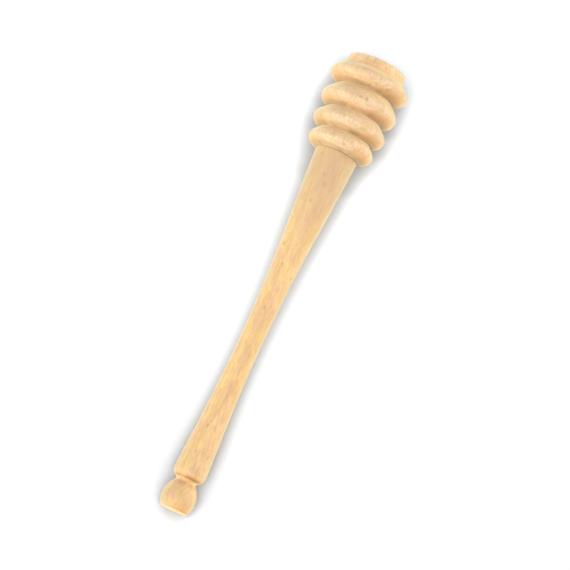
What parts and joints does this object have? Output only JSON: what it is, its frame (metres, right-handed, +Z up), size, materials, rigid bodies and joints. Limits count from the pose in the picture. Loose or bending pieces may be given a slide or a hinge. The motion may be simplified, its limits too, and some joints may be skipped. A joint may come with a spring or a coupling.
{
  "type": "honey dipper",
  "caption": "Turned wooden honey dipper with a ribbed round head on a slim waisted handle that ends in a small hanging knob.",
  "frame": {"origin": "bottom centre of the box of the dipper as it lies on a table on its knob and its wide ribs", "axes": "+X from the knob towards the head, level with the table; +Z up; the turning axis rises 3.04 degrees towards the head in the XZ plane"},
  "size_m": [0.1606, 0.0272, 0.0272],
  "materials": {
    "handle_beech": "satin, fine sanded, unvarnished",
    "head_beech": "satin, fine sanded, unvarnished"
  },
  "bodies": {
    "root": {"handle": "handle_beech", "dipper_head": "head_beech"}
  },
  "joints": []
}
